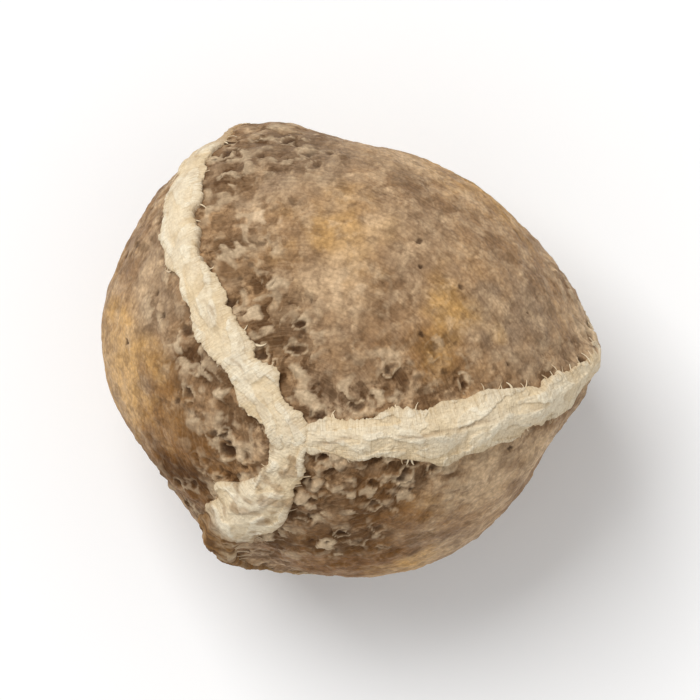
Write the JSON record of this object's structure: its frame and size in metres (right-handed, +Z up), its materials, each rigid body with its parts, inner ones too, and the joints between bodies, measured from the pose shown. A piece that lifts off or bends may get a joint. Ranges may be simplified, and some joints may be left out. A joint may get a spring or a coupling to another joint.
{
  "type": "moringa seed",
  "caption": "Round three-angled seed with domed brown faces and ragged cream stumps of torn wings along its angles.",
  "frame": {"origin": "on the surface the seed rests on, below the middle of its bounding box", "axes": "+Z up from the surface, +X along the seed's widest extent as it lies, towards one wing stump, +Y towards the face between that stump and the next"},
  "size_m": [0.0112, 0.0102, 0.0096],
  "materials": {
    "seed_coat": "matte"
  },
  "bodies": {
    "root": {"moringa_seed": "seed_coat"}
  },
  "joints": []
}
